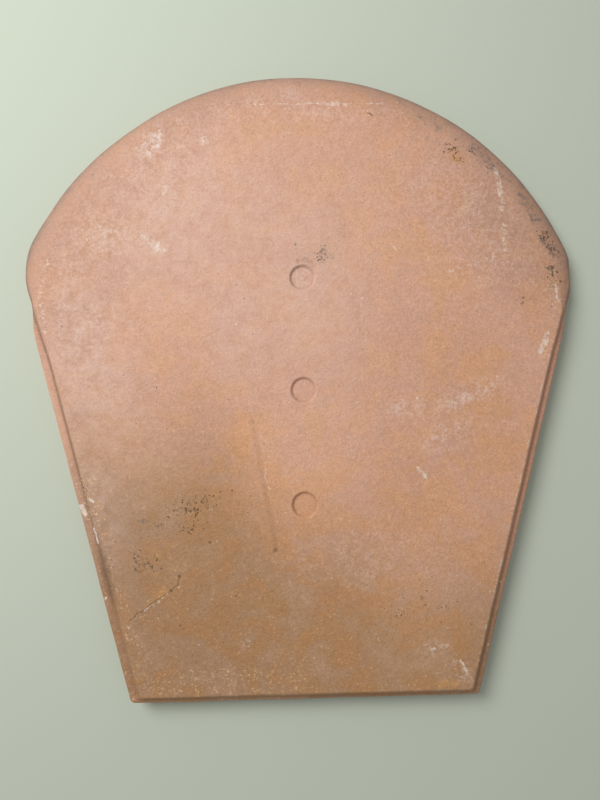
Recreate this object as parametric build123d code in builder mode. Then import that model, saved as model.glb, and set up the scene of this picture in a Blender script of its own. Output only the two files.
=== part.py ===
from build123d import *
import os
from math import atan2, cos, degrees, radians, sin, tan

# A pressed clay closing tile for the end of a ridge: an arched head with a rolled edge, sides that
# run straight down to a narrow foot, a step along the sides and foot, three fixing marks in the
# face and a hollow back. It lies on its back rim: +Z out of the face, +Y towards the crown.

# Outline at the parting line of the mould, its widest level
tile_height = 474.0
foot_width = 256.4
side_lean = 15.1
arch_radius = 224.5
shoulder_radius = 72.0
foot_corner_radius = 7.0

# Levels above the rim that the tile lies on
parting_level = 11.0
ledge_level = 19.0
face_level = 24.0

# Rolled edge of the arch. It rises and narrows round each shoulder, then runs up and out along the side.
roll_width = 22.0
roll_lip_lean = 8.0
roll_shoulder_tilt = 5.0
roll_end_lean = 15.0
roll_end_length = 52.0

# Step along the sides and the foot
side_ledge_width = 5.0
foot_ledge_width = 2.0
ledge_edge_radius = 1.5
riser_lean = 38.0
face_edge_radius = 0.8
face_corner_radius = 4.0
step_run_out = 56.0

# Hollow back
back_draft = 6.0
rim_width = 15.0
hollow_depth = 10.0
hollow_draft = 20.0
hollow_corner_radius = 12.0
hollow_floor_radius = 4.0

# Fixing marks
mark_count = 3
mark_radius = 9.0
mark_depth = 2.0
mark_spacing = 85.0
middle_mark_above_foot = 227.0
mark_mouth_radius = 0.8
mark_floor_radius = 0.6

# How far the run-out is drawn past the outline, and how near a radius must be to count as a mark's
run_out_overshoot = 1.3
radius_tolerance = 0.001

# Worked out from the sizes above
foot_y = -tile_height / 2
crown_y = tile_height / 2
arch_centre_y = crown_y - arch_radius
lean_x = sin(radians(side_lean))
lean_y = cos(radians(side_lean))
face_to_ledge = face_level - ledge_level
riser_run = face_to_ledge * tan(radians(riser_lean))
side_inset = side_ledge_width + riser_run
foot_inset = foot_ledge_width + riser_run
beyond = tile_height

os.makedirs("parts", exist_ok=True)


# Outline: two leaning sides cut by one large arc, with rounded shoulders and foot corners. Of the arch's
# circle only the part above its points square to the sides is used, so that each side meets it once.
with BuildSketch(Plane.XY.offset(parting_level)) as outline:
    with BuildLine():
        head_circle = CenterArc(
            (0, arch_centre_y),
            arch_radius,
            start_angle=-side_lean,
            arc_size=180 + 2 * side_lean,
            mode=Mode.PRIVATE,
        )
        right_side = IntersectingLine((foot_width / 2, foot_y), (lean_x, lean_y), head_circle)
        left_side = IntersectingLine((-foot_width / 2, foot_y), (-lean_x, lean_y), head_circle)
        ThreePointArc(right_side @ 1, (0, crown_y), left_side @ 1)
        Line(left_side @ 0, right_side @ 0)
    make_face()
    fillet(outline.vertices().group_by(Axis.Y)[-1], shoulder_radius)
    fillet(outline.vertices().group_by(Axis.Y)[0], foot_corner_radius)

# The right shoulder runs from the end of the arch to the top of the straight side
outline_arcs = outline.edges().filter_by(GeomType.CIRCLE).sort_by(SortBy.RADIUS)
right_shoulder = outline_arcs[2:4].sort_by(Axis.X)[-1]
shoulder_centre = right_shoulder.arc_center
shoulder_start = right_shoulder.vertices().sort_by(Axis.Y)[-1]
shoulder_end = right_shoulder.vertices().sort_by(Axis.Y)[0]
shoulder_angle = atan2(shoulder_start.Y - shoulder_centre.Y, shoulder_start.X - shoulder_centre.X)

# Edge of the raised face: parallel to the side, then an arc that closes on the outline at the shoulder
run_out_radius = (step_run_out**2 + side_inset**2) / (2 * side_inset)
run_out_sweep = run_out_overshoot * degrees(atan2(step_run_out, run_out_radius - side_inset))
straight_top_x = shoulder_end.X - step_run_out * lean_x - side_inset * lean_y
straight_top_y = shoulder_end.Y - step_run_out * lean_y + side_inset * lean_x
straight_foot_y = foot_y + foot_inset
straight_foot_x = straight_top_x - (straight_top_y - straight_foot_y) * lean_x / lean_y

with BuildSketch(Plane.XY.offset(face_level)) as face_outline:
    with BuildLine():
        Line((-straight_foot_x, straight_foot_y), (straight_foot_x, straight_foot_y))
        for hand in (1, -1):
            side = Line(
                (hand * straight_foot_x, straight_foot_y),
                (hand * straight_top_x, straight_top_y),
            )
            run_out = JernArc(side @ 1, side % 1, run_out_radius, -hand * run_out_sweep)
            Polyline(
                run_out @ 1,
                (hand * beyond, (run_out @ 1).Y),
                (hand * beyond, beyond),
                (0, beyond),
            )
    make_face()
    fillet(face_outline.vertices().group_by(Axis.Y)[0], face_corner_radius)

# Raised face with its leaning riser, carried down inside the body and cut to the outline
with BuildPart() as raised_face:
    add(face_outline.sketch)
    extrude(amount=-face_to_ledge, taper=-riser_lean)
    fillet(raised_face.faces().sort_by(Axis.Z)[-1].edges(), face_edge_radius)
    extrude(raised_face.faces().sort_by(Axis.Z)[0], amount=ledge_level - parting_level)
    add(outline.sketch)
    extrude(amount=face_level - parting_level, mode=Mode.INTERSECT)

# Section of what the mould takes off outside the roll, standing at the start of the right shoulder
roll_outwards = (cos(shoulder_angle), sin(shoulder_angle), 0)
roll_along = (sin(shoulder_angle), -cos(shoulder_angle), 0)
roll_plane = Plane((shoulder_start.X, shoulder_start.Y, 0), x_dir=roll_outwards, z_dir=roll_along)
with BuildSketch(roll_plane) as roll_section:
    with BuildLine():
        roll_height = face_level - parting_level
        half_height = roll_height / (1 - sin(radians(roll_lip_lean)))
        half_width = roll_width / cos(radians(roll_lip_lean))
        roll = EllipticalCenterArc(
            (-roll_width, face_level - half_height),
            half_width,
            half_height,
            start_angle=roll_lip_lean,
            arc_size=90 - roll_lip_lean,
        )
        below = Line(roll @ 0, roll @ 0 - roll_height * (roll % 0))
        Polyline(
            roll @ 1,
            (-roll_width, face_level + roll_height),
            (shoulder_radius, face_level + roll_height),
            (shoulder_radius, (below @ 1).Y),
            below @ 1,
        )
    make_face()

# The section turned about the arch, turned on a tilted axis about the shoulder, then drawn along the side
tilt = radians(roll_shoulder_tilt)
end_lean = radians(roll_end_lean)
arch_axis = Axis((0, arch_centre_y, 0), (0, 0, 1))
shoulder_pivot = (shoulder_centre.X, shoulder_centre.Y, parting_level)
shoulder_axis_x = -sin(tilt) * cos(shoulder_angle)
shoulder_axis_y = -sin(tilt) * sin(shoulder_angle)
shoulder_axis = Axis(shoulder_pivot, (shoulder_axis_x, shoulder_axis_y, -cos(tilt)))
shoulder_sweep = degrees(shoulder_angle) + side_lean
run_up = (-lean_x * cos(end_lean), -lean_y * cos(end_lean), sin(end_lean))
with BuildPart() as shoulder_cutter:
    revolve(roll_section.sketch, axis=shoulder_axis, revolution_arc=shoulder_sweep)
    extrude(roll_section.sketch.rotate(shoulder_axis, shoulder_sweep), amount=roll_end_length, dir=run_up)
with BuildPart() as roll_cutter:
    revolve(roll_section.sketch, axis=arch_axis, revolution_arc=180 - 2 * degrees(shoulder_angle))
    add(shoulder_cutter.part)
    mirror(shoulder_cutter.part, about=Plane.YZ)

with BuildPart() as ridge_end_tile:
    # Body up to the ledge, then the drafted half below the parting line
    add(outline.sketch)
    extrude(amount=ledge_level - parting_level)
    fillet(ridge_end_tile.faces().sort_by(Axis.Z)[-1].edges(), ledge_edge_radius)
    add(outline.sketch)
    extrude(amount=-parting_level, taper=back_draft)
    add(raised_face.part)
    add(roll_cutter.part, mode=Mode.SUBTRACT)

    # Hollow back inside its rim
    with BuildSketch() as hollow_outline:
        add(ridge_end_tile.faces().sort_by(Axis.Z)[0])
        offset(amount=-rim_width, kind=Kind.INTERSECTION)
        fillet(hollow_outline.vertices().group_by(Axis.Y)[0], hollow_corner_radius)
    extrude(amount=hollow_depth, taper=hollow_draft, mode=Mode.SUBTRACT)
    hollow_floor = ridge_end_tile.faces().filter_by(Plane.XY).sort_by(Axis.Z)[1]
    fillet(hollow_floor.edges(), hollow_floor_radius)

    # Shallow round marks down the middle of the face
    middle_mark = Location((0, foot_y + middle_mark_above_foot, face_level))
    with Locations(middle_mark):
        with GridLocations(mark_spacing, mark_spacing, 1, mark_count):
            Hole(mark_radius, mark_depth)
    mark_rings = ridge_end_tile.edges().filter_by(
        lambda edge: edge.geom_type == GeomType.CIRCLE and abs(edge.radius - mark_radius) < radius_tolerance
    )
    fillet(mark_rings.group_by(Axis.Z)[-1], mark_mouth_radius)
    fillet(mark_rings.group_by(Axis.Z)[0], mark_floor_radius)

ridge_end_tile.part.label = "ridge_end_tile"
export_step(ridge_end_tile.part, "parts/ridge_end_tile.step")

box = ridge_end_tile.part.bounding_box()
print(f"overall {box.size.X:.1f} x {box.size.Y:.1f} x {box.size.Z:.1f} mm")
print(f"volume {ridge_end_tile.part.volume / 1e6:.3f} litres, valid {ridge_end_tile.part.is_valid}")
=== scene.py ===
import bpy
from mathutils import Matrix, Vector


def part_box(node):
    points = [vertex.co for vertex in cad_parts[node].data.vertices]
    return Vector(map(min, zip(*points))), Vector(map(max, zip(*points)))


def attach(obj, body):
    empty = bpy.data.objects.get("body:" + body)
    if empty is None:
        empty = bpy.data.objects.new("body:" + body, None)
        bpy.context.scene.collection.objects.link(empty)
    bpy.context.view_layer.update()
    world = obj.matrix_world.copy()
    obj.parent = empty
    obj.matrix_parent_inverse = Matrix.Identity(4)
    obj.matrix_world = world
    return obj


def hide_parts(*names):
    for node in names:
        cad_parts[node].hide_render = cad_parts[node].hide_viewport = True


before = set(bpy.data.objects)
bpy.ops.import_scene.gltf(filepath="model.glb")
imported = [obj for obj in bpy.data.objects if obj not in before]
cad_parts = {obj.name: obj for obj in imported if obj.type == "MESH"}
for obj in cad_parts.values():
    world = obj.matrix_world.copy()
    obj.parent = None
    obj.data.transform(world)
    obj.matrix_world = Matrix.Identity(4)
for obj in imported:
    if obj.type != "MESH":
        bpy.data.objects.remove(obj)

from types import SimpleNamespace

import bpy
import numpy as np
from bpy.props import FloatProperty, FloatVectorProperty, PointerProperty
from mathutils import Matrix, Vector

bl_info = {
    "name": "Clay ridge end tile",
    "version": (1, 0, 0),
    "blender": (4, 5, 0),
    "location": "3D View > Sidebar > Roof tile",
    "description": "Dresses a pressed clay closing tile and lays out its floor, light and camera",
    "category": "Object",
}

NODE = "ridge_end_tile"
TILE_LOW, TILE_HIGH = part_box(NODE)
FOOT_Y, CROWN_Y = TILE_LOW.y, TILE_HIGH.y
FACE_Z = TILE_HIGH.z
MM = 0.001

# The camera, in metres and radians, and the photo's frame in pixels
CAMERA_PLACE = (-0.0193, -0.0413, 0.4701)
CAMERA_TURN, CAMERA_PITCH, CAMERA_YAW = 0.0114, -0.0534, 0.0368
FRAME_WIDTH, FRAME_HEIGHT = 600, 800
FOCAL_PIXELS = 601
SENSOR = 36

# How many steps of the surface go into each run of half the outline, and into its rings
RUN_STEPS = {"arch": 96, "shoulder": 40, "side": 116, "corner": 16, "foot": 52}
BLOCK_STEPS = 40
BRIDGE_STEPS = (sum(RUN_STEPS.values()) - 4 * BLOCK_STEPS) // 2
EDGE_RINGS = 60
FACE_RINGS = 23
BACK_FLOOR_RINGS = 8

# How finely a cross-section of the edge is worked out before its rings are placed
WALL_STEPS, SECTION_STEPS = 24, 320

# How far in the edge's rings reach, half the square round a mark, and how far the mesh stays inside the box
EDGE_REACH = 30 * MM
BLOCK_HALF = 16 * MM
BOX_MARGIN = 0.05 * MM

# How many waves a ripple adds up
WAVES = 24

# Noises of the clay's finish: scale, detail, roughness and distortion
NOISES = {
    "broad": (9, 4, 0.6, 0),
    "cloud": (34, 5, 0.65, 0.6),
    "mottle": (110, 4, 0.65, 0.4),
    "speck": (330, 3, 0.7, 0),
    "fine": (620, 3, 0.7, 0),
    "sand": (1200, 2, 0.7, 0),
    "gravel": (620, 1, 0.5, 0.5),
    "grit": (520, 2, 0.6, 1.0),
    "crumble": (260, 3, 0.5, 0),
}

# Chips in the edges: photo column and row, radius and depth in millimetres
CHIPS = {
    "left ledge": (84.5, 512, 4.5, 1.1),
    "left ledge below": (87, 524, 3.5, 0.7),
    "left face edge": (92, 502, 3.0, 0.8),
    "left long chip": (95, 536, 3.2, 0.7),
    "left low chip": (103, 600, 2.6, 0.6),
    "right shoulder": (568, 282, 3.6, 0.6),
    "foot corner": (137, 697, 3.4, 0.7),
    "foot nick": (262, 697, 2.4, 0.6),
    "foot right nick": (455, 692, 2.8, 0.6),
}

# Strokes and dots on the face: photo columns and rows, width in millimetres and strength
PALE_STROKES = {
    # A thin pale line along the crown, where the face meets the roll
    "crown pale line": (((248, 104), (382, 103)), 0.4, 0.75),
    "upper left smear": (((158, 128), (149, 161)), 1.4, 0.45),
    "upper right streak": (((495, 168), (500, 188), (503, 208)), 2.3, 0.62),
    "upper right curl": (((505, 226), (504, 250)), 2.0, 0.6),
    "upper right arc": (((501, 252), (484, 261), (452, 271)), 2.2, 0.45),
    "short scratch": (((392, 244), (399, 253)), 0.5, 0.7),
    "left shoulder edge": (((47, 261), (42, 286), (39, 297), (42, 314), (46, 337)), 1.4, 0.45),
    "upper left haze": (((160, 131), (159, 143), (149, 154)), 1.8, 0.7),
    "left haze streak": (((141, 234), (152, 243), (165, 251)), 1.6, 0.6),
    "left faint streak": (((126, 268), (127, 290)), 1.4, 0.4),
    "foot streak": (((425, 677), (445, 672)), 0.8, 0.5),
    "foot speck": (((376, 634), (379, 641)), 0.8, 0.5),
    "right shoulder streak": (((556, 286), (558, 300)), 1.0, 0.85),
    "low right smear": (((418, 468), (428, 479)), 1.2, 0.75),
    "hair": (((272, 452), (265, 463), (265, 479), (270, 490)), 0.35, 0.6),
    "edge chip": (((79, 507), (83, 515)), 1.7, 1.3),
    "edge chip above": (((90, 500), (93, 502)), 1.1, 1.2),
    "long edge chip": (((93, 530), (97, 543)), 1.0, 1.2),
    "small edge chip": (((103, 600),), 1.1, 1.1),
    "crack edge": (((170, 592), (156, 603), (140, 613), (131, 620)), 0.9, 0.42),
    "foot chip": (((128, 626), (129, 629)), 0.8, 1.0),
    "right scuff": (((548, 333), (541, 352)), 2.2, 0.8),
    "upper left dab": (((203, 136), (202, 142)), 1.6, 0.75),
    "left dab": (((165, 187), (163, 194)), 1.6, 0.7),
    "left low dab": (((157, 243), (156, 250)), 1.8, 0.7),
    "crown dab": (((323, 103), (345, 105)), 2.2, 0.6),
    "low dab": (((425, 645), (434, 650), (447, 646)), 1.7, 0.5),
    "foot dab": (((461, 661), (467, 672)), 1.2, 0.8),
    "dot 1": (((88, 239),), 1.1, 0.9),
    "dot 2": (((115, 254),), 0.9, 0.9),
    "dot 3": (((294, 134),), 0.8, 0.8),
    "dot 4": (((236, 324),), 0.8, 0.8),
    "dot 5": (((97, 321),), 0.9, 0.8),
    "dot 6": (((292, 347),), 0.7, 0.8),
    "dot 7": (((481, 185),), 0.9, 0.8),
    "dot 8": (((452, 203),), 0.8, 0.7),
    "dot 9": (((351, 293),), 1.0, 0.7),
    "dot 10": (((362, 298),), 0.9, 0.7),
    "dot 11": (((384, 291),), 0.9, 0.6),
    "dot 12": (((417, 398),), 0.8, 0.8),
    "dot 13": (((504, 421),), 0.9, 0.8),
    "dot 14": (((470, 527),), 0.8, 0.8),
    "dot 15": (((457, 575),), 0.8, 0.8),
    "dot 16": (((332, 579),), 0.7, 0.7),
    "dot 17": (((503, 583),), 0.9, 0.8),
    "dot 18": (((249, 646),), 0.8, 0.7),
    "dot 19": (((267, 656),), 0.8, 0.7),
    "dot 20": (((48, 264),), 1.4, 0.9),
    "dot 21": (((287, 472),), 1.1, 0.8),
    "dot 22": (((268, 272),), 1.3, 0.5),
}

DARK_STROKES = {
    "crack": (((179, 575), (178, 584), (171, 591), (154, 602), (143, 610), (130, 620)), 0.45, 0.66),
    "crack dot 1": (((179, 576),), 1.3, 0.8),
    "crack dot 2": (((171, 591),), 1.2, 0.7),
    "crack dot 3": (((156, 602),), 1.2, 0.6),
    "run": (((250, 415), (259, 456), (275.5, 548)), 2.4, 0.3),
    "run end": (((275.5, 550),), 2.2, 0.55),
    "top mark crescent": (((297, 262), (305, 259), (312, 262)), 1.6, 0.35),
    "top mark fleck": (((323, 253), (328, 257)), 1.2, 0.5),
    "crown fleck": (((368, 113), (373, 115)), 0.9, 0.6),
    "speck 1": (((449, 149),), 1.0, 0.8),
    "speck 2": (((456, 153),), 0.9, 0.8),
    "speck 3": (((461, 158),), 0.9, 0.7),
    "speck 4": (((210, 542),), 1.0, 0.7),
    "speck 5": (((232, 490),), 0.9, 0.7),
    "speck 6": (((180, 626),), 0.9, 0.6),
    "speck 7": (((161, 569),), 1.1, 0.7),
    "speck 8": (((553, 267),), 1.2, 0.8),
    "speck 9": (((557, 272),), 1.1, 0.7),
    "speck 10": (((561, 281),), 1.0, 0.7),
    "speck 11": (((551, 249),), 1.6, 0.7),
}

# Stains, painted light (glow) and painted shade (shade) that the mesh carries: photo column and row of the
# middle, half length and half width in millimetres, turn in degrees and strength
STAINS_AND_PAINTED_LIGHT = {
    "veil": {
        "left": (95, 380, 110, 45, -80, 0.5),
        "upper left": (190, 230, 90, 70, 30, 0.55),
        "upper middle": (300, 280, 90, 50, -80, 0.5),
        "low left edge": (100, 500, 60, 22, -75, 0.45),
        "middle left": (238, 322, 50, 34, -80, 0.5),
    },
    "warmth": {
        "middle": (262, 505, 60, 28, -85, 0.6),
        "right": (488, 400, 85, 24, -75, 0.45),
        "low right": (418, 518, 44, 38, 0, 0.5),
        "left low": (155, 490, 75, 45, -60, 0.45),
    },
    # Painted light
    "glow": {
        "middle": (315, 450, 100, 40, -85, 0.45),
        "low right": (415, 615, 56, 40, -70, 1.15),
    },
    # Painted shade
    "shade": {
        "right shoulder": (510, 230, 75, 35, -55, 0.8),
        "left": (80, 270, 90, 45, 75, 0.6),
        "low middle right": (408, 490, 55, 32, -80, 0.4),
        "left middle": (95, 360, 60, 45, -80, 0.3),
        "left low": (150, 590, 90, 40, -60, 0.38),
        "left edge": (85, 390, 50, 26, -78, 0.3),
        "right middle": (480, 430, 70, 45, -70, 0.35),
        "middle": (330, 440, 60, 30, -80, 0.2),
        "crown left": (190, 110, 50, 14, 35, 0.5),
        "crown right": (400, 108, 50, 14, -25, 0.5),
    },
    "haze": {
        "upper left": (160, 165, 55, 38, 40, 0.4),
        "upper left patch": (149, 141, 14, 9, 60, 1.3),
        "upper dab": (201, 138, 6, 4, -30, 1.2),
        "upper dab left": (182, 146, 4, 3, 0, 1.0),
        "left dab": (165, 188, 5, 4, 80, 1.2),
        "left patch": (109, 234, 12, 9, 0, 1.2),
        "left low patch": (152, 243, 13, 4, -36, 1.1),
        "foot right patch": (464, 672, 9, 5, -60, 1.0),
        "foot right": (436, 648, 9, 5, 0, 0.6),
        "foot left": (248, 646, 3, 3, 0, 1.2),
        "crown patch": (289, 96, 7, 5, 0, 1.2),
        "crown left patch": (258, 101, 12, 3, 10, 0.9),
        "left shoulder": (100, 236, 26, 20, 20, 0.6),
        "crown": (300, 112, 110, 9, 0, 0.35),
        "upper right": (470, 220, 60, 40, -50, 0.4),
        "right": (471, 393, 26, 7, 25, 1.0),
        "right low": (408, 408, 14, 6, 0, 0.9),
        "right middle": (448, 435, 20, 8, 30, 0.9),
        "left": (80, 320, 50, 20, -80, 0.5),
        "low right": (380, 560, 60, 30, 0, 0.2),
        "mark floor": (302, 277, 9, 9, 0, 0.8),
    },
    "soot": {
        "crown": (288, 97, 12, 4.5, 0, 0.6),
        "crown right": (432, 143, 13, 7, -30, 0.55),
        "above top mark": (322, 252, 14, 7, 40, 0.85),
        "left of top mark": (296, 246, 10, 4, 0, 0.75),
        "left low smudge": (138, 561, 14, 9, 0, 0.75),
        "left smudge": (145, 524, 17, 6, 0, 0.65),
        "upper smudge": (196, 503, 18, 7, 10, 0.6),
        "foot left": (160, 640, 30, 14, -30, 0.3),
        "foot middle": (225, 665, 30, 9, 0, 0.25),
        "right shoulder": (549, 245, 16, 6, -60, 1.0),
        "right shoulder low": (553, 276, 16, 7, -80, 0.65),
        "arch right": (487, 158, 46, 9, -46, 0.98),
        "arch right low": (530, 208, 34, 9, -55, 0.92),
        "arch upper right": (432, 122, 24, 6, -30, 0.8),
        "arch left": (95, 168, 50, 7, 48, 0.55),
        "right smudge": (524, 298, 9, 5, 0, 0.5),
        "left low edge": (112, 585, 26, 5, -75, 0.6),
        "upper right mottle": (415, 120, 9, 4, -20, 0.55),
    },
    "crumbs": {
        "face": (300, 400, 400, 300, 0, 0.05),
        "foot middle": (250, 676, 60, 10, 0, 0.75),
        "left edge": (92, 505, 34, 9, -75, 1.1),
        "left low": (122, 600, 34, 6, -72, 0.8),
        "corner": (135, 645, 24, 9, -66, 0.6),
        "foot": (270, 689, 110, 5, 0, 0.8),
        "left foot corner": (150, 685, 20, 12, 0, 0.8),
        "crack": (156, 602, 26, 3, 38, 1.0),
        "arch right": (412, 125, 14, 8, -60, 0.7),
        "right shoulder": (552, 290, 24, 12, -80, 0.8),
        "right": (445, 400, 40, 14, 15, 0.5),
        "right edge": (545, 350, 26, 7, -75, 0.7),
        "left shoulder": (45, 300, 30, 7, 85, 0.6),
        "crown": (295, 110, 60, 8, 0, 0.5),
    },
    "moss": {
        "upper cluster": (196, 503, 22, 9, 10, 1.0),
        "lower cluster": (192, 528, 16, 9, 0, 0.85),
        "left cluster": (148, 526, 15, 8, 0, 0.7),
        "left low cluster": (138, 560, 15, 12, 0, 0.75),
        "edge": (86, 500, 22, 5, -75, 0.7),
        "rim chain": (548, 240, 20, 6, -55, 0.95),
        "rim dots": (553, 275, 14, 8, -70, 0.85),
        "rim upper": (455, 152, 12, 8, -35, 0.75),
        "rim": (484, 160, 30, 8, -45, 0.5),
        "smudge": (524, 298, 10, 5, 0, 0.8),
        "above top mark": (312, 256, 20, 7, 0, 0.6),
        "right speckle": (420, 606, 28, 16, 0, 0.5),
        "shoulder": (555, 274, 8, 5, -60, 0.6),
    },
    "ochre": {
        "crumbs": (96, 508, 32, 7, -75, 0.5),
        "corner": (138, 679, 16, 8, 30, 0.55),
        "crack": (155, 600, 30, 6, 35, 0.55),
        "left low": (150, 560, 45, 30, -60, 0.45),
        "foot": (270, 689, 70, 3, 0, 0.5),
        "foot right": (448, 684, 16, 6, 0, 0.7),
        "foot cluster": (277, 678, 7, 4, 0, 0.6),
        "upper right": (455, 155, 13, 9, -40, 0.6),
    },
    "earth": {
        "left edge": (105, 575, 45, 6, -75, 0.8),
        "left low": (140, 590, 60, 32, -60, 0.35),
        "foot": (290, 690, 130, 4, 0, 0.4),
        "left foot corner": (148, 685, 18, 10, 0, 0.45),
    },
}

# Where the outline bows in or, with a negative depth, out: photo column and row, reach and depth in
# millimetres
BOWS = {
    "left brow": (131, 130, 45, 1.1),
    "above left shoulder": (31, 244, 17, -1.4),
    "left waist": (29, 303, 16, 2.8),
    "above right shoulder": (568, 262, 20, -2.0),
    "right waist": (565, 314, 11, 1.4),
}


def linear(red, green, blue):
    """A colour as read on a screen, 0 to 255, as the light values that Blender works in."""
    values = [c / 255 for c in (red, green, blue)]
    return tuple(c / 12.92 if c <= 0.04045 else ((c + 0.055) / 1.055) ** 2.4 for c in values)


def length_value(name, description, default):
    """A length in metres for the sidebar."""
    return FloatProperty(name=name, description=description, default=default, unit="LENGTH")


def angle_value(name, description, degrees):
    """An angle for the sidebar, its default given in degrees."""
    return FloatProperty(name=name, description=description, default=np.radians(degrees), subtype="ANGLE")


def share_value(name, description, default):
    """A share from 0 to 1 for the sidebar."""
    settings = {"default": default, "min": 0, "max": 1, "subtype": "FACTOR"}
    return FloatProperty(name=name, description=description, **settings)


def colour_value(name, description, *screen):
    """A colour for the sidebar, its default given as read on a screen."""
    settings = {"default": linear(*screen), "size": 3, "min": 0, "max": 1, "subtype": "COLOR"}
    return FloatVectorProperty(name=name, description=description, **settings)


class TileShape(bpy.types.PropertyGroup):
    """Sizes of the tile's outline, roll, step, marks and hollow back."""

    arch_radius: length_value("Arch radius", "Radius of the head", 0.2245)
    shoulder_radius: length_value("Shoulder radius", "Rounding between head and side", 0.072)
    side_lean: angle_value("Side lean", "How far each side leans outwards", 15.1)
    foot_width: length_value("Foot width", "Width between the sharp foot corners", 0.2564)
    foot_corner_radius: length_value("Foot corner radius", "Rounding of the foot corners", 0.0045)
    parting_level: length_value("Parting level", "Height of the mould's parting line", 0.011)
    roll_width: length_value("Roll width", "Width of the rolled edge", 0.022)
    roll_lip_lean: angle_value("Roll lip lean", "Lean of the roll where it meets the parting line", 8)
    roll_shoulder_tilt: angle_value("Roll shoulder tilt", "Tilt of the axis it turns about at a shoulder", 5)
    roll_end_lean: angle_value("Roll end lean", "Climb of the roll along the side, past the shoulder", 15)
    step_height: length_value("Step height", "Height of the face above the ledge", 0.005)
    left_ledge: length_value("Left ledge", "Width of the ledge along the left side", 0.0059)
    right_ledge: length_value("Right ledge", "Width of the ledge along the right side", 0.0042)
    foot_ledge: length_value("Foot ledge", "Width of the ledge along the foot", 0.002)
    riser_lean: angle_value("Riser lean", "Lean of the step's riser", 38)
    step_run_out: length_value("Step run-out", "How far below the shoulder the step starts to lessen", 0.03)
    ledge_narrowing: share_value("Ledge narrowing", "Share of its width that it loses at the shoulder", 0.34)
    step_fade: share_value("Step fade", "Share of the step that is lost where it runs out", 0.6)
    edge_radius: length_value("Edge radius", "Rounding of the ledge's outer edge", 0.0016)
    shoulder_edge_radius: length_value("Shoulder edge radius", "Rounding of the shoulders' edge", 0.0026)
    mark_radius: length_value("Mark radius", "Radius of the fixing marks at mid depth", 0.0091)
    mark_wall: length_value("Mark wall", "Width of a mark's sloping wall in plan", 0.0024)
    mark_depth: length_value("Mark depth", "Depth of the fixing marks", 0.002)
    mark_spacing: length_value("Mark spacing", "Distance between fixing marks", 0.085)
    middle_mark: length_value("Middle mark", "Height of the middle mark above the foot", 0.227)
    back_draft: angle_value("Back draft", "Draft of the wall below the parting line", 6)
    rim_width: length_value("Rim width", "Width of the rim round the hollow back", 0.015)
    hollow_depth: length_value("Hollow depth", "Depth of the hollow back", 0.01)
    hollow_draft: angle_value("Hollow draft", "Draft of the hollow's wall", 20)
    waviness: length_value("Waviness", "Depth of the hollows that drying left in the face", 0.0004)
    raggedness: length_value("Raggedness", "How far the outline wanders inwards", 0.0004)


class TileClay(bpy.types.PropertyGroup):
    """Colours of the fired clay, of what weather and handling left on it, and of the painted shade by its rim
    and in its creases.
    """

    clay: colour_value("Clay", "Main colour of the face", 211, 163, 138)
    warm_clay: colour_value("Warm clay", "More orange patches of the face", 216, 161, 121)
    foot_clay: colour_value("Foot clay", "Browner clay towards the foot", 168, 131, 97)
    foot_warm: colour_value("Warm foot clay", "More orange patches near the foot", 183, 130, 83)
    red_clay: colour_value("Red clay", "Cleaner clay of the roll and the ledge", 204, 150, 124)
    bloom: colour_value("Bloom", "Pale lime haze", 224, 196, 184)
    chalk: colour_value("Chalk", "Chalky scratches and chips", 236, 222, 208)
    # Soot also gives the grey dirt and painted shade by the rim and down the roll
    soot: colour_value("Soot", "Grey stains", 128, 112, 104)
    # Earth also gives the dirt and painted shade in the riser's crease and round the marks' floors
    earth: colour_value("Earth", "Brown dirt in the corners", 112, 82, 60)
    ochre: colour_value("Ochre", "Sandy orange dirt", 206, 150, 84)
    crumb: colour_value("Crumb", "Sandy pale crumbs stuck to the face", 228, 192, 150)
    moss: colour_value("Moss", "Dark dried moss", 72, 62, 42)
    roughness: share_value("Roughness", "Roughness of the clay", 0.86)
    grain: length_value("Grain", "Height of the sandy grain", 0.00034)


class TileStage(bpy.types.PropertyGroup):
    """Floor and light."""

    floor: colour_value("Floor", "Colour of the floor", 196, 203, 187)
    floor_size: length_value("Floor size", "Width of the floor", 6.0)
    lamp_place: FloatVectorProperty(
        name="Lamp place", description="Where the soft lamp hangs", subtype="XYZ", default=(-0.62, 0.5, 0.97)
    )
    lamp_size: length_value("Lamp size", "Width of the soft lamp", 0.7)
    lamp_power: FloatProperty(
        name="Lamp power", description="Power of the soft lamp", default=12.0, unit="POWER"
    )
    fill: FloatProperty(name="Fill", description="Strength of the even light all round", default=0.36, min=0)


def placed(name, data):
    """A new object in the scene that holds the data."""
    made = bpy.data.objects.new(name, data)
    bpy.context.scene.collection.objects.link(made)
    return made


def smooth_step(low, high, x):
    """Climbs from 0 at low to 1 at high along 3t^2 - 2t^3."""
    t = np.clip((x - low) / (high - low), 0, 1)
    return t * t * (3 - 2 * t)


def soft_min(a, b, reach):
    """The lower of two values, less (reach - |a - b|)^2 / (4 reach) where they differ by less than reach."""
    overlap = np.maximum(reach - np.abs(a - b), 0)
    return np.minimum(a, b) - overlap**2 / (4 * reach)


def ripples(x, y, seed, longest, shortest):
    """A seeded sum of plane waves, each with its own direction, phase and length between the two given,
    scaled to about -1 to 1. Longer waves are higher, in proportion to their length."""
    rng = np.random.default_rng(seed)
    lengths = longest * (shortest / longest) ** rng.random(WAVES)
    turns, phases = rng.random(WAVES) * 2 * np.pi, rng.random(WAVES) * 2 * np.pi
    total = sum(
        length * np.sin(2 * np.pi * (x * np.cos(turn) + y * np.sin(turn)) / length + phase)
        for length, turn, phase in zip(lengths, turns, phases)
    )
    usual_height = 1.6 * np.sqrt((lengths**2).sum())
    return total / usual_height


def swells(x, y, seed, longest, shortest):
    """Ripples moved and cut to 0 to 1."""
    return (0.5 + 0.5 * ripples(x, y, seed, longest, shortest)).clip(0, 1)


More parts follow.
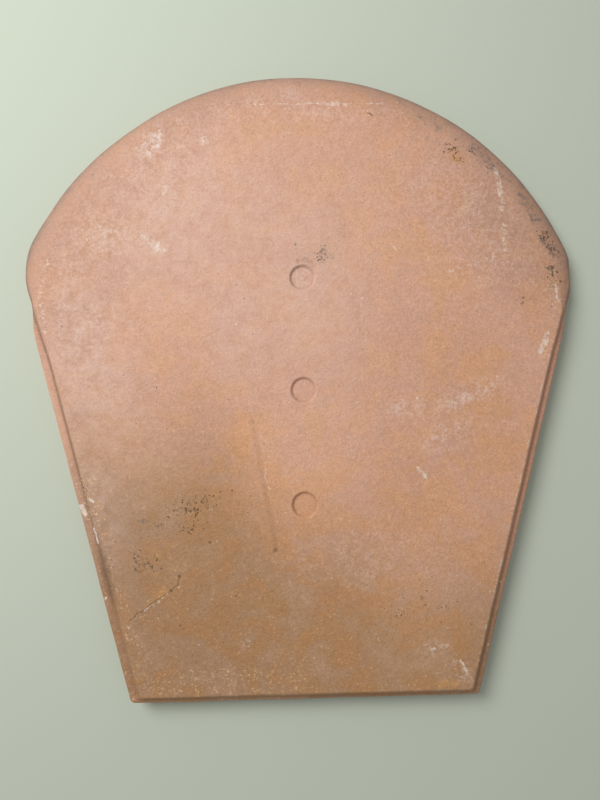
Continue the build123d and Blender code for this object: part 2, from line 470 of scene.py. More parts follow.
def camera_matrix():
    """The camera's place and turn."""
    yaw, pitch = Matrix.Rotation(-CAMERA_YAW, 4, "Y"), Matrix.Rotation(-CAMERA_PITCH, 4, "X")
    turns = yaw @ pitch @ Matrix.Rotation(-CAMERA_TURN, 4, "Z")
    return Matrix.Translation(CAMERA_PLACE) @ turns


def on_face(column, row):
    """The point of the face that the photo shows at a pixel: the camera's ray, cut at the face's level."""
    matrix = camera_matrix()
    ray = matrix.to_3x3() @ Vector((column - FRAME_WIDTH / 2, FRAME_HEIGHT / 2 - row, -FOCAL_PIXELS))
    start = matrix.translation
    return (start + ray * ((FACE_Z - start.z) / ray.z)).xy


def tile_form(shape):
    """The points that the outline hangs on. The shoulder's centre lies on a line parallel to the side, one
    shoulder radius inside it, at the distance from the arch's centre by which the arch is larger."""
    lean = shape.side_lean
    form = SimpleNamespace(shape=shape, lean=lean)
    form.up_side = np.array([np.sin(lean), np.cos(lean)])
    form.out = np.array([np.cos(lean), -np.sin(lean)])
    form.toe = np.array([shape.foot_width / 2, FOOT_Y])
    form.arch_centre = np.array([0, CROWN_Y - shape.arch_radius])
    reach = form.toe - shape.shoulder_radius * form.out - form.arch_centre
    along = reach @ form.up_side
    gap = shape.arch_radius - shape.shoulder_radius
    form.shoulder_rise = -along + np.sqrt(along**2 - reach @ reach + gap**2)
    form.shoulder_centre = form.toe + form.shoulder_rise * form.up_side - shape.shoulder_radius * form.out
    lever = form.shoulder_centre - form.arch_centre
    form.shoulder_start = np.arctan2(lever[1], lever[0])
    form.foot_inset = shape.foot_ledge + shape.step_height * np.tan(shape.riser_lean)
    form.roll_half_width = shape.roll_width / np.cos(shape.roll_lip_lean)
    form.roll_half_height = (FACE_Z - shape.parting_level) / (1 - np.sin(shape.roll_lip_lean))
    form.mark_rows = FOOT_Y + shape.middle_mark + shape.mark_spacing * np.array([1, 0, -1])
    return form


def turn_points(centre, radius, start, end, steps):
    """Points on a circular arc from one angle to another: centre + radius (cos, sin)."""
    angles = np.linspace(start, end, steps + 1)
    return centre + radius * np.stack([np.cos(angles), np.sin(angles)], -1)


def tile_loop(form, inset, corner):
    """The whole outline moved inwards by inset, clockwise from the crown. The right half is arch, shoulder,
    side, foot corner and foot, each in even steps, and the left half is its mirror image."""
    shape, run = form.shape, RUN_STEPS
    crown, start, end, down = np.pi / 2, form.shoulder_start, -form.lean, -np.pi / 2
    depth = inset + corner
    corner_x = form.toe[0] - depth * (1 - np.sin(form.lean)) / np.cos(form.lean)
    corner_centre = np.array([corner_x, FOOT_Y + depth])
    arch = turn_points(form.arch_centre, shape.arch_radius - inset, crown, start, run["arch"])
    shoulder = turn_points(form.shoulder_centre, shape.shoulder_radius - inset, start, end, run["shoulder"])
    toe = turn_points(corner_centre, corner, end, down, run["corner"])
    side = np.linspace(shoulder[-1], toe[0], run["side"] + 1)
    foot = np.linspace(toe[-1], [0, FOOT_Y + inset], run["foot"] + 1)
    half = np.concatenate([arch[:-1], shoulder[:-1], side[:-1], toe[:-1], foot])
    half[0, 0] = 0
    return np.concatenate([half, half[-2:0:-1] * [-1, 1]])


def side_place(form, x, y):
    """Where a point lies along its side, up from the foot corner, and how far inside that side it is."""
    px, py = np.abs(x) - form.toe[0], y - form.toe[1]
    return px * form.up_side[0] + py * form.up_side[1], -(px * form.out[0] + py * form.out[1])


def step_drop(form, x, y):
    """Height of the step between face and ledge. It lessens smoothly where it runs out at the shoulder."""
    shape, fade_end = form.shape, 30 * MM
    rise = side_place(form, x, y)[0] - form.shoulder_rise
    return shape.step_height * (1 - shape.step_fade * smooth_step(-shape.step_run_out, fade_end, rise))


def step_distance(form, x, y):
    """How far a point lies inside the edge of the raised face, negative outside: the distance from the side
    less its ledge and riser, or from the foot less its own, whichever is lower by soft_min."""
    shape, corner = form.shape, 2.6 * MM
    narrow_start, narrow_end = -55 * MM, -10 * MM
    rise, inside = side_place(form, x, y)
    riser = step_drop(form, x, y) * np.tan(shape.riser_lean)
    narrowed = 1 - shape.ledge_narrowing * smooth_step(narrow_start, narrow_end, rise - form.shoulder_rise)
    ledge = np.where(x < 0, shape.left_ledge, shape.right_ledge) * narrowed
    return soft_min(inside - ledge - riser, y - FOOT_Y - form.foot_inset, corner)


def roll_level(form, x, y):
    """Height of the roll: a quarter ellipse across the outline. It is turned about the arch's centre, then
    about the shoulder's on a tilted axis, which lifts it by radius sin(tilt) cos(tilt) (1 - cos(turn)), then
    it climbs evenly along the side."""
    shape = form.shape
    tilt = shape.roll_shoulder_tilt
    px, py = np.abs(x) - form.shoulder_centre[0], y - form.shoulder_centre[1]
    turn = form.shoulder_start - np.arctan2(py, px)
    whole_turn = form.shoulder_start + form.lean
    at_arch, at_shoulder = turn < 0, (turn >= 0) & (turn < whole_turn)
    rise, inside = side_place(form, x, y)
    past = np.maximum(form.shoulder_rise - rise, 0)
    inside_arch = shape.arch_radius - np.hypot(x, y - form.arch_centre[1])
    inside_shoulder = shape.shoulder_radius - np.hypot(px, py)
    inset = np.where(at_arch, inside_arch, np.where(at_shoulder, inside_shoulder, inside))
    lift = shape.shoulder_radius * np.sin(tilt) * np.cos(tilt)
    end_climb = lift * (1 - np.cos(whole_turn)) + past * np.tan(shape.roll_end_lean)
    climb = np.where(at_arch, 0, np.where(at_shoulder, lift * (1 - np.cos(turn)), end_climb))
    across = np.clip((shape.roll_width - inset) / form.roll_half_width, 0, 1)
    return np.minimum(FACE_Z, FACE_Z + climb - form.roll_half_height * (1 - np.sqrt(1 - across**2)))


def mark_distance(form, x, y):
    """Distance from the middle of the nearest fixing mark."""
    return np.min([np.hypot(x, y - row) for row in form.mark_rows], axis=0)


def top_level(form, x, y):
    """Height of the upper side: the lower of the stepped face and the roll, less marks, waviness and chips.
    The step is the higher of ledge and riser, cut at the face, with its edges rounded by soft_min."""
    shape = form.shape
    crease_round, face_round, roll_round = 1.0 * MM, 1.2 * MM, 0.4 * MM
    ledge = FACE_Z - step_drop(form, x, y)
    riser = FACE_Z + step_distance(form, x, y) / np.tan(shape.riser_lean)
    step = soft_min(FACE_Z, -soft_min(-ledge, -riser, crease_round), face_round)
    level = soft_min(step, roll_level(form, x, y), roll_round)
    low, high = shape.mark_radius - shape.mark_wall / 2, shape.mark_radius + shape.mark_wall / 2
    mark = shape.mark_depth * (1 - smooth_step(low, high, mark_distance(form, x, y)))
    above = smooth_step(0, 8 * MM, level - shape.parting_level)
    sag = shape.waviness * swells(x, y, 11, 0.16, 0.02)
    return level - mark - above * (sag + chips(x, y))


def chips(x, y):
    """Depth of the chips: ragged round bites, each deepest in its middle and gone at its radius."""
    bite = np.zeros_like(x)
    ragged = 1 + 0.25 * ripples(x, y, 5, 0.006, 0.002)
    for column, row, radius, depth in CHIPS.values():
        cx, cy = on_face(column, row)
        away = np.hypot(x - cx, y - cy) / (radius * MM)
        bite = np.maximum(bite, depth * MM * (1 - smooth_step(0.2, 1, away * ragged)))
    return bite


def inward_wander(form, loop):
    """How the outline strays along its normal: inwards by seeded waves, and in or out by the bows, each fading
    as exp(-(distance / reach)^2). It stays inside the tile's box."""
    ahead = np.roll(loop, -1, axis=0) - np.roll(loop, 1, axis=0)
    normal = np.stack([ahead[:, 1], -ahead[:, 0]], -1)
    normal = normal / np.linalg.norm(normal, axis=1, keepdims=True)
    x, y = loop.T
    stray = form.shape.raggedness * swells(x, y, 3, 0.09, 0.012)
    for column, row, reach, depth in BOWS.values():
        cx, cy = on_face(column, row)
        stray = stray + depth * MM * np.exp(-((x - cx) ** 2 + (y - cy) ** 2) / (reach * MM) ** 2)
    limit = np.array([TILE_HIGH.x, TILE_HIGH.y]) - BOX_MARGIN
    return np.clip(loop + normal * stray[:, None], -limit, limit) - loop


def edge_sections(form):
    """The upper rings, from the parting line to the loop EDGE_REACH inside it. Each cross-section climbs the
    wall, turns over the rounded edge and follows top_level inwards."""
    shape = form.shape
    crowding, inner_corner = 1.25, 8 * MM
    low_wall, high_wall, most_of_wall = 8 * MM, 12 * MM, 0.45
    outer, inner = tile_loop(form, 0, shape.foot_corner_radius), tile_loop(form, EDGE_REACH, inner_corner)
    share = np.linspace(0, 1, SECTION_STEPS + 1) ** crowding
    inset = share * EDGE_REACH
    points = outer[:, None] + (inner - outer)[:, None] * share[None, :, None]
    level = top_level(form, points[..., 0], points[..., 1])
    points = points + inward_wander(form, outer)[:, None] * (1 - share)[None, :, None]
    above = level[:, :1] - shape.parting_level
    extra = shape.shoulder_edge_radius - shape.edge_radius
    most = shape.edge_radius + extra * smooth_step(low_wall, high_wall, above)
    radius = np.minimum(np.clip(above * most_of_wall, 0, None), most)
    left = np.clip(radius - inset, 0, None)
    level = level - (radius - np.sqrt(np.clip(radius**2 - left**2, 0, None)))
    climb = np.linspace(0, 1, WALL_STEPS + 1)[:-1]
    wall_level = shape.parting_level + (level[:, :1] - shape.parting_level) * climb
    plan = np.concatenate([np.repeat(points[:, :1], WALL_STEPS, axis=1), points], axis=1)
    return spaced_rings(plan, np.concatenate([wall_level, level], axis=1), inset)


def spaced_rings(plan, height, inset):
    """Rings across the sections, spaced evenly by length, which counts for less at the inner end, plus turning,
    so the edges and the riser get the most."""
    smoothing, turning_weight, inner_saving = 7, 3 * MM, 0.6
    saving_start, saving_end = 0.4, 0.9
    run = np.linalg.norm(np.diff(plan, axis=1), axis=2)
    rise = np.diff(height, axis=1)
    angle = np.arctan2(rise, np.maximum(run, 1e-9))
    angle[:, :WALL_STEPS] = np.pi / 2
    turning = np.abs(np.diff(angle, axis=1, append=angle[:, -1:]))
    turning = np.stack([np.convolve(row, np.ones(smoothing) / smoothing, "same") for row in turning])
    reach = np.concatenate([np.zeros(WALL_STEPS), inset[:-1]]) / EDGE_REACH
    saved = inner_saving * smooth_step(saving_start, saving_end, reach)
    weight = np.hypot(run, rise) * (1 - saved) + turning_weight * turning
    measure = np.concatenate([np.zeros((len(plan), 1)), np.cumsum(weight, axis=1)], axis=1)
    measure = measure / measure[:, -1:]
    section = np.arange(len(plan))[:, None] * 2
    wanted = (np.linspace(0, 1, EDGE_RINGS + 1)[None] + section).ravel()
    known = (measure + section).ravel()
    parts = (plan[..., 0], plan[..., 1], height)
    rings = np.stack([np.interp(wanted, known, part.ravel()) for part in parts], -1)
    return rings.reshape(len(plan), EDGE_RINGS + 1, 3).transpose(1, 0, 2)


def block_rows(form):
    """The lines of the rectangle in the middle of the face: columns across it, and rows down it through the
    marks' squares."""
    across = np.linspace(-BLOCK_HALF, BLOCK_HALF, BLOCK_STEPS + 1)
    rows = [np.array([form.mark_rows[0] + BLOCK_HALF])]
    for index, middle in enumerate(form.mark_rows):
        top, bottom = middle + BLOCK_HALF, middle - BLOCK_HALF
        if index:
            rows.append(np.linspace(form.mark_rows[index - 1] - BLOCK_HALF, top, BRIDGE_STEPS + 1)[1:])
        rows.append(np.linspace(top, bottom, BLOCK_STEPS + 1)[1:])
    return across, np.concatenate(rows)


def block_loop(across, rows):
    """The rectangle's edge as a loop from the middle of its top, with as many points as the outline."""
    right_half = across[BLOCK_STEPS // 2:]
    top = np.stack([right_half, np.full_like(right_half, rows[0])], -1)
    right = np.stack([np.full_like(rows, across[-1]), rows], -1)
    bottom = np.stack([right_half[::-1], np.full_like(right_half, rows[-1])], -1)
    half = np.concatenate([top[:-1], right[:-1], bottom])
    return np.concatenate([half, half[-2:0:-1] * [-1, 1]])


def sheet(points, closed, flip=False):
    """Quads of a grid of points, as (points, faces). closed joins its last column to its first."""
    rows, columns = points.shape[:2]
    index = np.arange(rows * columns).reshape(rows, columns)
    if closed:
        index = np.concatenate([index, index[:, :1]], axis=1)
    quads = np.stack([index[:-1, :-1], index[1:, :-1], index[1:, 1:], index[:-1, 1:]], -1).reshape(-1, 4)
    if flip:
        quads = quads[:, ::-1]
    return points.reshape(-1, 3), quads


def lifted(form, plan):
    """A grid of plan points at the height of the upper side."""
    return np.concatenate([plan, top_level(form, plan[..., 0], plan[..., 1])[..., None]], -1)


def mark_block(form, across, rows):
    """The square round one mark: rings that turn from the square into circles and close on its middle."""
    outer, spacing, inner = 12.2 * MM, 0.30 * MM, 6.6 * MM
    squaring_rings, floor_rings = 7, 9
    top = np.stack([across, np.full_like(across, rows[0])], -1)
    right = np.stack([np.full_like(rows, across[-1]), rows], -1)
    bottom = np.stack([across[::-1], np.full_like(across, rows[-1])], -1)
    left = np.stack([np.full_like(rows, across[0]), rows[::-1]], -1)
    square = np.concatenate([top[:-1], right[:-1], bottom[:-1], left[:-1]])
    centre = np.array([0, (rows[0] + rows[-1]) / 2])
    angles = 0.75 * np.pi - np.arange(len(square)) * 2 * np.pi / len(square)
    spokes = np.stack([np.cos(angles), np.sin(angles)], -1)
    blend = np.linspace(0, 1, squaring_rings)[:, None, None]
    squaring = square + (centre + spokes * outer - square) * blend
    radii = np.concatenate([np.arange(outer - spacing, inner, -spacing), np.linspace(inner, 0, floor_rings)])
    circles = centre + spokes * radii[:, None, None]
    return sheet(lifted(form, np.concatenate([squaring, circles])), closed=True)


def face_pieces(form, inner_ring):
    """Everything inside the edge rings: rings that turn into the middle rectangle, the marks' squares and the
    strips between them."""
    crowding = 1.15
    across, rows = block_rows(form)
    rectangle = block_loop(across, rows)
    share = np.linspace(0, 1, FACE_RINGS + 1)[:, None, None] ** crowding
    outer = inner_ring[:, :2]
    plan = outer + (rectangle - outer) * share
    plan[0], plan[-1] = outer, rectangle
    rings = lifted(form, plan)
    rings[0] = inner_ring
    pieces = [sheet(rings, closed=True)]
    start = 0
    for index in range(len(form.mark_rows)):
        end = start + BLOCK_STEPS
        pieces.append(mark_block(form, across, rows[start:end + 1]))
        if index < len(form.mark_rows) - 1:
            strip = np.stack(np.meshgrid(across, rows[end:end + BRIDGE_STEPS + 1]), -1)
            pieces.append(sheet(lifted(form, strip), closed=False))
        start = end + BRIDGE_STEPS
    return pieces


def back_profile(shape):
    """Inset, level and corner radius of each ring of the back, from the parting line inwards: drafted wall,
    rounded edge, rim, rounded lip, the hollow's drafted wall and the cove at its floor."""
    parting, foot = shape.parting_level, shape.foot_corner_radius
    edge_round, lip_round, cove_round = 1.2 * MM, 1.0 * MM, 4 * MM
    corner_growth, lip_corner, hollow_corner, floor_corner = 5 * MM, 12 * MM, 11 * MM, 10 * MM
    wall_tan, hollow_tan = np.tan(shape.back_draft), np.tan(shape.hollow_draft)
    draft = parting * wall_tan
    rim_start, rim_end = draft + edge_round, draft + shape.rim_width
    rim_run, lip_start = rim_end - lip_round - draft - edge_round, rim_end - lip_round
    quarter = np.linspace(0, np.pi / 2, 6)[1:]
    quarters = np.linspace(0, 1, 5)[1:]
    fifths = np.linspace(0, 1, 6)[1:]
    levels = parting - np.linspace(0, parting - edge_round, 6)[1:]
    wall = [((parting - level) * wall_tan, level, foot) for level in levels]
    edge = [(draft + edge_round * (1 - np.cos(a)), edge_round * (1 - np.sin(a)), foot) for a in quarter]
    rim = [(rim_start + rim_run * t, 0, foot + corner_growth * t) for t in quarters]
    lip = [(lip_start + lip_round * np.sin(a), lip_round * (1 - np.cos(a)), lip_corner) for a in quarter]
    lower, upper = lip[-1][1], shape.hollow_depth - cove_round * 0.7
    levels = np.linspace(lower, upper, 5)[1:]
    hollow = [(rim_end + (level - lower) * hollow_tan, level, hollow_corner) for level in levels]
    cove_start, cove_low = hollow[-1][:2]
    climb = shape.hollow_depth - cove_low
    cove_insets = cove_start + cove_round * (0.15 * fifths + 0.85 * fifths**1.6)
    cove_levels = cove_low + climb * np.sin(fifths * np.pi / 2)
    cove = [(inset, level, floor_corner) for inset, level in zip(cove_insets, cove_levels)]
    return wall + edge + rim + lip + hollow + cove


def back_pieces(form, parting_ring):
    """The under side: the rings of back_profile, then the hollow's floor, which closes on the middle line."""
    wander_reach, spine_length, ripple_height = 12 * MM, 0.6, 0.35 * MM
    rings = [parting_ring]
    wander = inward_wander(form, tile_loop(form, 0, form.shape.foot_corner_radius))
    for inset, level, corner in back_profile(form.shape):
        loop = tile_loop(form, inset, corner) + wander * max(0, 1 - inset / wander_reach)
        rings.append(np.concatenate([loop, np.full((len(loop), 1), level)], -1))
    floor_loop = rings[-1]
    spine = floor_loop * [0, spine_length, 1]
    for share in np.linspace(0, 1, BACK_FLOOR_RINGS + 1)[1:]:
        ring = floor_loop + (spine - floor_loop) * share
        ripple = ripple_height * ripples(ring[:, 0], ring[:, 1], 21, 0.12, 0.03) * smooth_step(0, 0.3, share)
        ring[:, 2] = ring[:, 2] - np.abs(ripple)
        rings.append(ring)
    return [sheet(np.stack(rings), closed=True, flip=True)]


def welded(pieces):
    """Joins pieces whose edges hold the very same points, drops quads' repeated corners, and checks that the
    surface is closed."""
    points, faces, offset = [], [], 0
    for piece_points, piece_faces in pieces:
        points.append(piece_points)
        faces.append(piece_faces + offset)
        offset += len(piece_points)
    points = np.round(np.concatenate(points), 9) + 0.0
    unique, place = np.unique(points, axis=0, return_inverse=True)
    quads = place.ravel()[np.concatenate(faces)]
    edges = np.sort(np.stack([quads, np.roll(quads, -1, axis=1)], -1).reshape(-1, 2), axis=1)
    edges = edges[edges[:, 0] != edges[:, 1]]
    _, uses = np.unique(edges, axis=0, return_counts=True)
    if (uses % 2).any():
        raise RuntimeError(f"the tile's surface isn't closed: {(uses % 2 == 1).sum()} open edges")
    corners = [list(dict.fromkeys(quad)) for quad in quads.tolist()]
    return unique, [face for face in corners if len(face) > 2]


def press_tile(shape):
    """Makes the mesh of the whole tile."""
    form = tile_form(shape)
    edge = edge_sections(form)
    pieces = [sheet(edge, closed=True)] + face_pieces(form, edge[-1]) + back_pieces(form, edge[0])
    points, faces = welded(pieces)
    mesh = bpy.data.meshes.new("clay_tile")
    mesh.from_pydata(points.tolist(), [], faces)
    mesh.update()
    mesh.validate()
    mesh.shade_smooth()
    return form, placed("clay_tile", mesh)


class Wire:
    """One output of a material's nodes. A sum, difference or product of it adds a Math node."""

    def __init__(self, bench, output):
        self.bench, self.output = bench, output

    def math(self, operation, *values, clamp=False):
        """A Math node with this output as its first value."""
        settings = {"operation": operation, "use_clamp": clamp}
        return self.bench.node("ShaderNodeMath", settings, dict(enumerate((self, *values))))

    def vector(self, operation, value):
        """A Vector Math node of this output and a value."""
        return self.bench.node("ShaderNodeVectorMath", {"operation": operation}, {0: self, 1: value})

    def __add__(self, other):
        return self.math("ADD", other)

    def __sub__(self, other):
        return self.math("SUBTRACT", other)

    def __rsub__(self, other):
        return self.math("MULTIPLY_ADD", -1, other)

    def __mul__(self, other):
        return self.math("MULTIPLY", other)

    __radd__ = __add__
    __rmul__ = __mul__

    def between(self, low, high, start=0.0, end=1.0):
        """Goes smoothly from start at low to end at high."""
        settings = {"interpolation_type": "SMOOTHSTEP", "clamp": True}
        return self.bench.node("ShaderNodeMapRange", settings, {0: self, 1: low, 2: high, 3: start, 4: end})


class Bench:
    """The nodes of one material, and the one method that adds a node to them."""

    def __init__(self, material):
        material.use_nodes = True
        self.tree = material.node_tree
        self.tree.nodes.clear()

    def node(self, kind, settings=None, sockets=None, result=0):
        """Adds a node, sets its settings, then the values or links of its sockets."""
        made = self.tree.nodes.new(kind)
        for name, value in (settings or {}).items():
            setattr(made, name, value)
        for place, value in (sockets or {}).items():
            if isinstance(value, Wire):
                self.tree.links.new(value.output, made.inputs[place])
            else:
                made.inputs[place].default_value = value
        return Wire(self, made.outputs[result] if len(made.outputs) else None)

    def mask(self, name):
        """A value that the mesh carries at its points."""
        return self.node("ShaderNodeAttribute", {"attribute_name": name}, result=2)

    def noise(self, where, name, result=0):
        """One of the NOISES."""
        sockets = dict(zip(("Scale", "Detail", "Roughness", "Distortion"), NOISES[name]))
        return self.node("ShaderNodeTexNoise", None, {"Vector": where, **sockets}, result)

    def painted(self, under, over, share):
        """One colour laid over another. A plain colour is given without its alpha."""
        under, over = (colour if isinstance(colour, Wire) else (*colour, 1) for colour in (under, over))
        return self.node("ShaderNodeMix", {"data_type": "RGBA"}, {0: share, 6: under, 7: over}, result=2)

    def specks(self, where, scale, size, share):
        """Round specks: one in each Voronoi cell whose random colour passes share, up to size of a cell."""
        sockets = {"Vector": where, "Scale": scale}
        distance, cell = (self.node("ShaderNodeTexVoronoi", None, sockets, place) for place in (0, 1))
        red = self.node("ShaderNodeSeparateColor", None, {0: cell})
        return distance.between(size, size * 0.4) * red.between(1 - share, 1 - share * 0.9)


def far_from(across, up, points):
    """Distance from a line through the points, or from a single point. The nearest point of each run lies the
    share clamp((place - start) . run / run^2) of the way along it. It is worked out with plain values and no
    vectors, because a material with a vector for each run is too large to render."""
    nearest = None
    for (start_x, start_y), (end_x, end_y) in zip(points, points[1:] or points):
        run_x, run_y = end_x - start_x, end_y - start_y
        aside, above = across - start_x, up - start_y
        if len(points) > 1:
            length_squared = run_x**2 + run_y**2
            climbed = above * (run_y / length_squared)
            share = aside.math("MULTIPLY_ADD", run_x / length_squared, climbed, clamp=True)
            aside = share.math("MULTIPLY_ADD", -run_x, aside)
            above = share.math("MULTIPLY_ADD", -run_y, above)
        squared = aside.math("MULTIPLY_ADD", aside, above * above)
        nearest = squared if nearest is None else nearest.math("MINIMUM", squared)
    return nearest.math("SQRT")


def strokes(across, up, lines):
    """How strongly a set of strokes covers each place: with a stroke's strength up to half its width from its
    middle line, and not at all past one and a half widths."""
    most = None
    for points, width, strength in lines.values():
        far = far_from(across, up, [on_face(*point) for point in points])
        cover = far.between(1.5 * width * MM, 0.5 * width * MM, 0.0, strength)
        most = cover if most is None else most.math("MAXIMUM", cover)
    return most


def fire_clay(clay):
    """The fired clay. Its colour runs from the foot's clay to the head's, is lightened and darkened by noises
    and by painted light and shade, and then laid over with haze, dirt, painted shade at the rim and in the
    creases, moss, crumbs and scratches. Each share is a mask of the mesh or a set of strokes, broken up by
    noises that swing about 0."""
    material = bpy.data.materials.new("fired_clay")
    bench = Bench(material)
    mask = bench.mask
    where = bench.node("ShaderNodeTexCoord", result=3)
    whole = {name: bench.noise(where, name) for name in NOISES}
    swings = [whole[name] - 0.5 for name in ("broad", "cloud", "mottle", "speck", "fine", "sand")]
    broad, cloud, mottle, speck, fine, sand = swings
    broken = fine * 1.1 + speck * 1.3
    upper = mask("upper")

    shift = bench.noise(where, "crumble", 1).vector("SUBTRACT", (0.5, 0.5, 0.5))
    flat = where.vector("MULTIPLY", (1, 1, 0)).vector("ADD", shift.vector("MULTIPLY", (0.0035, 0.0035, 0)))
    place = [bench.node("ShaderNodeSeparateXYZ", None, {0: flat}, result) for result in (0, 1)]
    dark, pale = (strokes(*place, lines) * upper for lines in (DARK_STROKES, PALE_STROKES))

    warmth = (whole["cloud"].between(0.36, 0.66) * 0.6 + mask("warmth")).between(0.0, 1.0)
    head = bench.painted(clay.clay, clay.warm_clay, warmth)
    foot = bench.painted(clay.foot_clay, clay.foot_warm, whole["cloud"].between(0.4, 0.64) * 0.65)
    colour = bench.painted(head, foot, mask("footward") * (0.85 + cloud * 1.2).between(0.0, 1.0))
    colour = bench.painted(colour, clay.red_clay, mask("fresh"))
    # The mask of the mesh read here is painted light and painted shade; the noises add random tone
    light = 1.0 + mask("painted_light_and_shade") + broad * 0.14 + mottle * 0.24 + speck * 0.3 + fine * 0.55 + sand * 0.5
    colour = bench.node("ShaderNodeHueSaturation", None, {"Value": light, "Color": colour})

    dust = (whole["mottle"] * 0.5 + whole["speck"] * 0.8 + whole["fine"] * 0.4).between(0.76, 1.06)
    # Grey dirt and painted shade towards the rim and down the roll
    rim_dirt_and_shade = mask("rim_dirt_and_shade") * (0.8 + mottle * 1.6 + speck * 0.8)
    soot = mask("soot") * 0.8 + mottle * 1.5 + speck * 1.8 + fine * 1.4
    moss = mask("moss")
    moss_film = (0.12 + speck * 1.6 + mottle * 1.4).between(0.0, 1.0)
    moss_flecks = whole["grit"] + moss * 0.25 + mottle * 0.6
    crumbs = whole["gravel"] + mask("crumbs") * 0.17 + mottle * 0.55
    layers = (
        (clay.bloom, mask("veil") * (0.55 + mottle * 1.2 + cloud * 0.8).between(0.0, 1.0)),
        (clay.bloom, mask("haze") * dust),
        (clay.chalk, (mask("worn") + speck * 1.3 + mottle * 0.8).between(0.42, 0.8) * 0.5),
        (clay.ochre, (mask("ochre") + mottle * 1.1 + speck * 0.9).between(0.4, 0.85) * 0.75),
        # Painted shade and grey dirt by the rim
        (clay.soot, rim_dirt_and_shade.between(0.0, 1.0)),
        (clay.soot, soot.between(0.5, 1.0) * 0.8),
        (clay.earth, (mask("earth") + mottle * 0.7 + speck * 0.7).between(0.3, 0.9) * 0.7),
        # Dirt and painted shade in the riser's crease and round the marks' floors
        (clay.earth, mask("crevice_dirt_and_shade") * (0.55 + whole["mottle"] * 0.5)),
        (clay.moss, moss * moss_film * 0.8),
        (clay.moss, moss_flecks.between(0.74, 0.82) * 0.85),
        (clay.crumb, crumbs.between(0.73, 0.81) * 0.55),
        (clay.chalk, bench.specks(where, 90, 0.09, 0.06) * 0.35),
        (clay.earth, (dark + broken * 0.6).between(0.15, 0.8) * 0.85),
        (clay.chalk, (pale + broken * 1.5).between(0.35, 1.15) * 0.75),
    )
    for tint, share in layers:
        colour = bench.painted(colour, tint, share)

    height = fine * 0.9 + sand * 0.4 + mottle * 1.6 + speck * 1.0
    bump = bench.node("ShaderNodeBump", None, {"Strength": 1.0, "Distance": clay.grain, "Height": height})
    finish = {"Base Color": colour, "Roughness": clay.roughness + mottle * 0.1, "Normal": bump}
    surface = bench.node("ShaderNodeBsdfPrincipled", None, {**finish, "Specular IOR Level": 0.4})
    bench.node("ShaderNodeOutputMaterial", None, {0: surface})
    return material


def stain_and_painted_light_cover(spots, x, y):
    """How strongly a set of stains, of painted light or of painted shade covers each place: the most of its
    spots, each fading as exp(-(u^2 + v^2)) with u along it over its half length and v across it over its half
    width."""
    cover = np.zeros_like(x)
    for column, row, half_length, half_width, turn, strength in spots.values():
        cx, cy = on_face(column, row)
        along, across = np.cos(np.radians(turn)), np.sin(np.radians(turn))
        u = ((x - cx) * along + (y - cy) * across) / (half_length * MM)
        v = ((y - cy) * along - (x - cx) * across) / (half_width * MM)
        cover = np.maximum(cover, strength * np.exp(-(u**2 + v**2)))
    return cover


